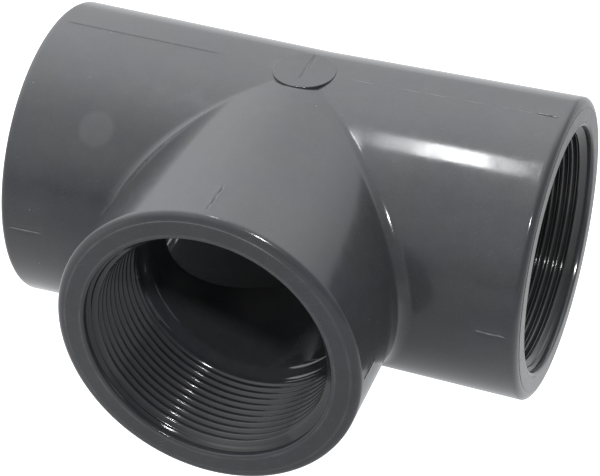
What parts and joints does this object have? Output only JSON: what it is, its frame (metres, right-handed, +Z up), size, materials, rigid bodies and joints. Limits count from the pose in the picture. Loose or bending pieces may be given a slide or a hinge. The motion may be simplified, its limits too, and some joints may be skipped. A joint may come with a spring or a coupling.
{
  "type": "threaded pipe tee",
  "caption": "Dark grey moulded pipe tee with a straight run, a side branch and a female tapered pipe thread in each mouth.",
  "frame": {"origin": "centre of the bounding box, on both planes of symmetry; the axes of run and branch cross at (0, 0.01425, 0)", "axes": "+X along the run, -Y out of the branch mouth, +Z up with the gate boss on top"},
  "size_m": [0.132, 0.1036, 0.075],
  "materials": {
    "grey_pvc": "dark grey rigid PVC, moulded, half gloss with fine surface ripple"
  },
  "bodies": {
    "root": {"tee_body": "grey_pvc"}
  },
  "joints": []
}
